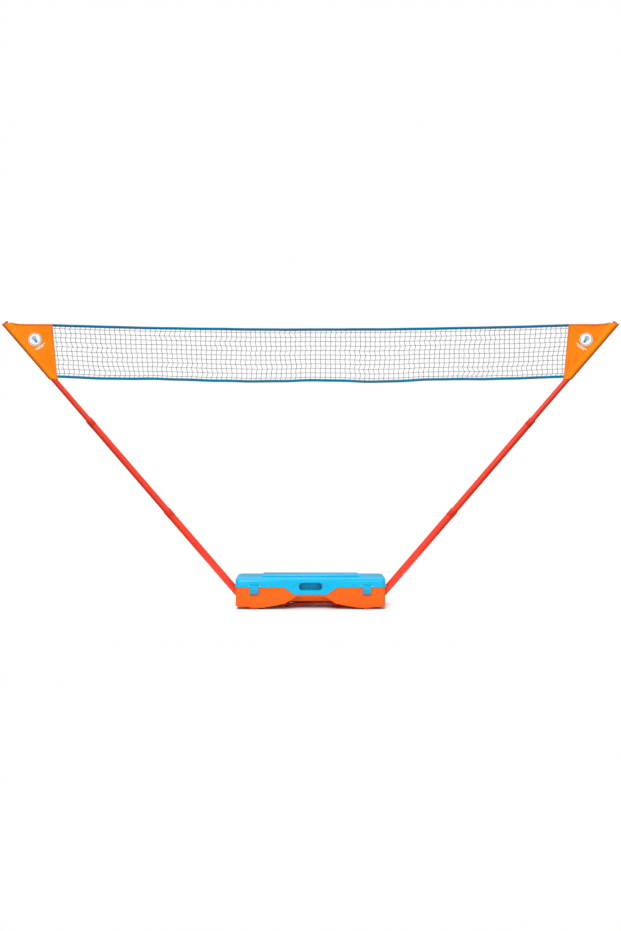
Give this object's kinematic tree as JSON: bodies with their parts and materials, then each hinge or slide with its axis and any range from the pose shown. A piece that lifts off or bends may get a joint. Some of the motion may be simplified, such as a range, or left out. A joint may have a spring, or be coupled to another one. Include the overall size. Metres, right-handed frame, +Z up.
{
  "type": "portable badminton net",
  "caption": "Portable badminton net: a moulded carrying case that is also the stand, with telescopic poles leaning outwards and a net between their tips.",
  "frame": {"origin": "on the floor under the middle of the case", "axes": "+X along the case to the right as seen from the front, +Y to its rear, +Z up"},
  "size_m": [3.0162, 0.2368, 1.3985],
  "materials": {
    "tray_plastic": "moulded, fine texture",
    "lid_plastic": "moulded, satin gloss",
    "latch_plastic": "moulded, satin gloss",
    "pad_rubber": "matt",
    "leg_plastic": "moulded",
    "pole_paint": "powder coat, satin",
    "collar_plastic": "moulded",
    "bush_plastic": "moulded",
    "cap_plastic": "moulded",
    "pin_steel": "drawn",
    "corner_fabric": "woven polyester",
    "tape_fabric": "woven webbing",
    "net_cord": "knotted twine"
  },
  "bodies": {
    "case": {"base_tray": "tray_plastic", "foot_pads": "pad_rubber", "left_pole_socket": "tray_plastic", "left_hinge_pin": "pin_steel", "left_lower_tube": "pole_paint", "left_lower_collar": "collar_plastic", "left_end_plug": "bush_plastic", "right_pole_socket": "tray_plastic", "right_hinge_pin": "pin_steel", "right_lower_tube": "pole_paint", "right_lower_collar": "collar_plastic", "right_end_plug": "bush_plastic", "front_leg_pin": "pin_steel", "rear_leg_pin": "pin_steel"},
    "lid": {"lid": "lid_plastic", "left_latch_pin": "pin_steel", "right_latch_pin": "pin_steel"},
    "left_latch": {"left_latch": "latch_plastic"},
    "left_middle_section": {"left_middle_tube": "pole_paint", "left_middle_bush": "bush_plastic", "left_middle_collar": "collar_plastic"},
    "left_upper_section": {"left_upper_tube": "pole_paint", "left_upper_bush": "bush_plastic", "left_tip_cap": "cap_plastic", "left_corner_panel": "corner_fabric", "left_net": "net_cord", "left_top_tape": "tape_fabric", "left_bottom_tape": "tape_fabric"},
    "right_latch": {"right_latch": "latch_plastic"},
    "right_middle_section": {"right_middle_tube": "pole_paint", "right_middle_bush": "bush_plastic", "right_middle_collar": "collar_plastic"},
    "right_upper_section": {"right_upper_tube": "pole_paint", "right_upper_bush": "bush_plastic", "right_tip_cap": "cap_plastic", "right_corner_panel": "corner_fabric", "right_net": "net_cord", "right_top_tape": "tape_fabric", "right_bottom_tape": "tape_fabric"},
    "front_leg": {"front_stabiliser_leg": "leg_plastic", "front_leg_foot": "pad_rubber"},
    "rear_leg": {"rear_stabiliser_leg": "leg_plastic", "rear_leg_foot": "pad_rubber"}
  },
  "joints": [
    {"name": "lid_hinge", "type": "hinge", "parent": "case", "child": "lid", "pos_m": [0, 0.1139, 0.106], "axis": [-1, 0, 0], "range_deg": [0, 105]},
    {"name": "left_latch_hinge", "type": "hinge", "parent": "lid", "child": "left_latch", "pos_m": [-0.27, -0.1114, 0.112], "axis": [-1, 0, 0], "range_deg": [0, 95]},
    {"name": "right_latch_hinge", "type": "hinge", "parent": "lid", "child": "right_latch", "pos_m": [0.27, -0.1114, 0.112], "axis": [-1, 0, 0], "range_deg": [0, 95]},
    {"name": "front_leg_swing", "type": "hinge", "parent": "case", "child": "front_leg", "pos_m": [-0.135, -0.022, 0.015], "axis": [0, 0, -1], "range_deg": [0, 90]},
    {"name": "rear_leg_swing", "type": "hinge", "parent": "case", "child": "rear_leg", "pos_m": [0.135, 0.022, 0.015], "axis": [0, 0, -1], "range_deg": [0, 90]},
    {"name": "left_middle_slide", "type": "slide", "parent": "case", "child": "left_middle_section", "axis": [0.6527, 0, -0.7576], "range_m": [0, 0.51]},
    {"name": "left_upper_slide", "type": "slide", "parent": "left_middle_section", "child": "left_upper_section", "axis": [0.6527, 0, -0.7576], "range_m": [0, 0.24], "deforming": ["left_net", "left_top_tape", "left_bottom_tape"]},
    {"name": "right_middle_slide", "type": "slide", "parent": "case", "child": "right_middle_section", "axis": [-0.6527, 0, -0.7576], "range_m": [0, 0.51]},
    {"name": "right_upper_slide", "type": "slide", "parent": "right_middle_section", "child": "right_upper_section", "axis": [-0.6527, 0, -0.7576], "range_m": [0, 0.24], "deforming": ["right_net", "right_top_tape", "right_bottom_tape"]}
  ],
  "couplings": [
    {"joint": "left_upper_slide", "follows": "left_middle_slide", "ratio": 0.47},
    {"joint": "right_middle_slide", "follows": "left_middle_slide", "ratio": 1},
    {"joint": "right_upper_slide", "follows": "left_middle_slide", "ratio": 0.47}
  ]
}
